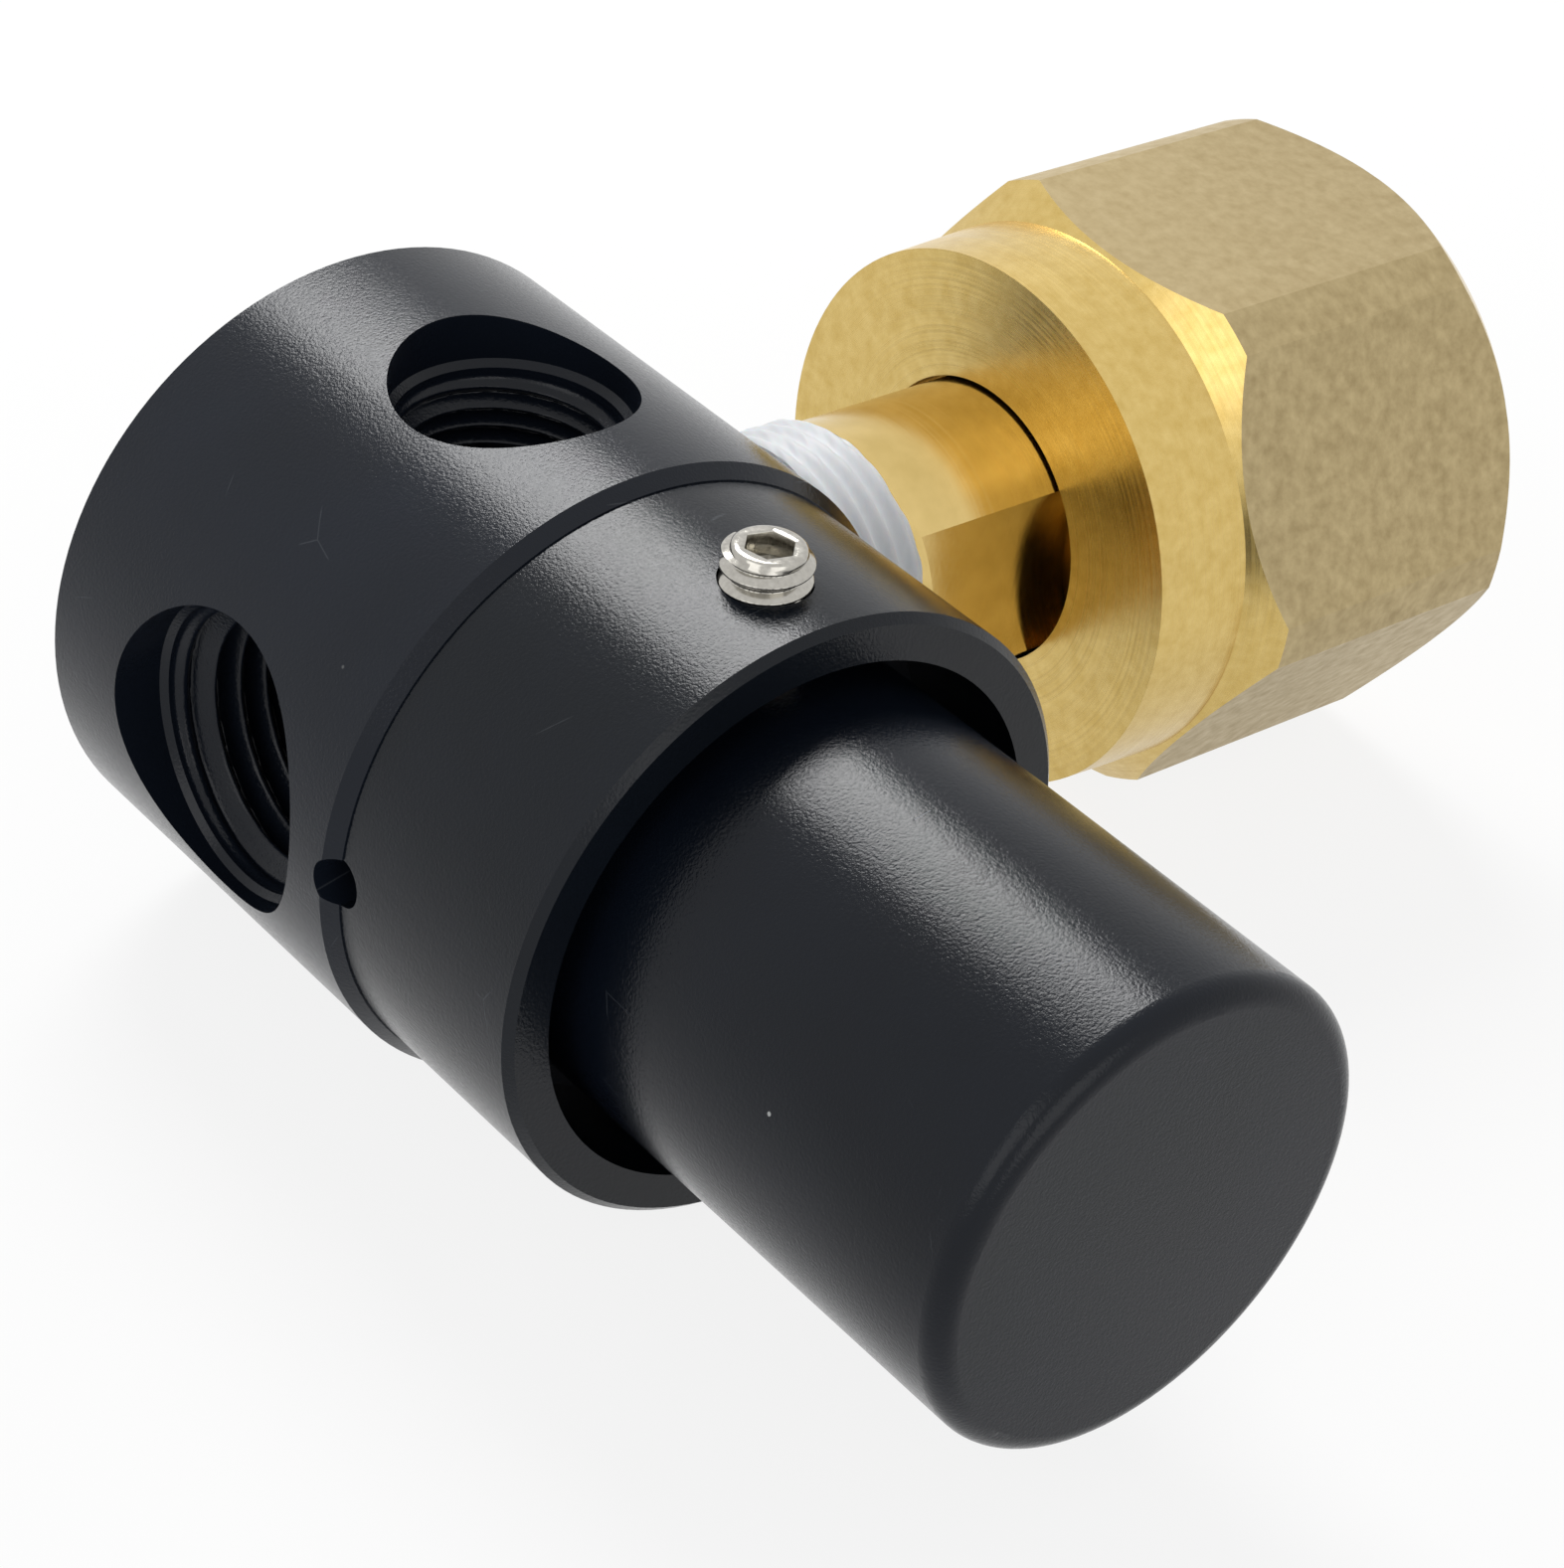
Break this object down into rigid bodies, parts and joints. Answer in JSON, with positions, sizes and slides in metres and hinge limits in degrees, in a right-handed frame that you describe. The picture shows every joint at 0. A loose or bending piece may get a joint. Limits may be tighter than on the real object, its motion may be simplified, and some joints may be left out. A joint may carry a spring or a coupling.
{
  "type": "air pressure regulator",
  "caption": "Round black piston regulator with threaded ports, an adjusting knob with a lock screw and a brass cylinder nut on a wrench-flat nipple.",
  "frame": {"origin": "centre of the body's flat rear face, on the main axis", "axes": "+X along the main axis out through the adjusting knob, +Y out through the cylinder nut, +Z out through the small upper port"},
  "size_m": [0.061, 0.0696, 0.0329],
  "materials": {
    "body_anodised": "black hard-anodised, satin",
    "bonnet_anodised": "black hard-anodised, satin",
    "knob_anodised": "black hard-anodised, satin",
    "nut_brass": "turned back face and collar, dull tarnished flats",
    "nipple_brass": "turned, with milled flats",
    "valve_brass": "turned",
    "piston_alloy": "turned, bare",
    "follower_steel": "turned",
    "spring_steel": "drawn wire",
    "ball_steel": "polished",
    "screw_stainless": "bright stainless",
    "seal_rubber": "moulded nitrile",
    "seal_urethane": "moulded urethane",
    "nylon": "turned nylon",
    "ptfe": "wound PTFE tape",
    "filter_bronze": "sintered bronze"
  },
  "bodies": {
    "regulator": {"main_body": "body_anodised", "bonnet": "bonnet_anodised", "valve_seat": "seal_urethane", "seat_retainer": "valve_brass", "inlet_nipple": "nipple_brass", "ptfe_tape": "ptfe", "inlet_filter": "filter_bronze", "nipple_washer": "nylon", "poppet_spring": "spring_steel", "main_spring": "spring_steel"},
    "nut": {"coupling_nut": "nut_brass"},
    "piston_group": {"piston": "piston_alloy", "piston_oring": "seal_rubber"},
    "poppet_group": {"poppet": "valve_brass", "poppet_seal": "seal_urethane"},
    "follower_group": {"spring_follower": "follower_steel", "thrust_ball": "ball_steel"},
    "knob": {"adjusting_knob": "knob_anodised"},
    "pellet": {"lock_pellet": "nylon"},
    "screw": {"lock_screw": "screw_stainless"}
  },
  "joints": [
    {"name": "nut_spin", "type": "hinge", "parent": "regulator", "child": "nut", "pos_m": [0.01346, 0.042, 0], "axis": [0, 1, 0], "continuous": true},
    {"name": "follower_slide", "type": "slide", "parent": "regulator", "child": "follower_group", "axis": [1, 0, 0], "range_m": [-0.0008, 0.004], "deforming": ["main_spring"]},
    {"name": "knob_turn", "type": "hinge", "parent": "follower_group", "child": "knob", "pos_m": [0.045, 0, 0], "axis": [1, 0, 0], "range_deg": [-288, 1440]},
    {"name": "piston_slide", "type": "slide", "parent": "regulator", "child": "piston_group", "axis": [1, 0, 0], "range_m": [0, 0.00065], "stiffness_N_per_m": 500, "springref_m": -0.002, "deforming": ["main_spring"]},
    {"name": "poppet_slide", "type": "slide", "parent": "regulator", "child": "poppet_group", "axis": [1, 0, 0], "range_m": [0, 0.00065], "deforming": ["poppet_spring"]},
    {"name": "pellet_slide", "type": "slide", "parent": "regulator", "child": "pellet", "axis": [0, 0, 1], "range_m": [-0.00025, 0.00079]},
    {"name": "lock_screw_turn", "type": "hinge", "parent": "pellet", "child": "screw", "pos_m": [0.03075, 0, 0.015], "axis": [0, 0, 1], "range_deg": [-113, 360]}
  ],
  "couplings": [
    {"joint": "follower_slide", "follows": "knob_turn", "m_per_rad": 0.00015915},
    {"joint": "poppet_slide", "follows": "piston_slide", "ratio": 1},
    {"joint": "lock_screw_turn", "follows": "pellet_slide", "rad_per_m": 7913.3}
  ]
}
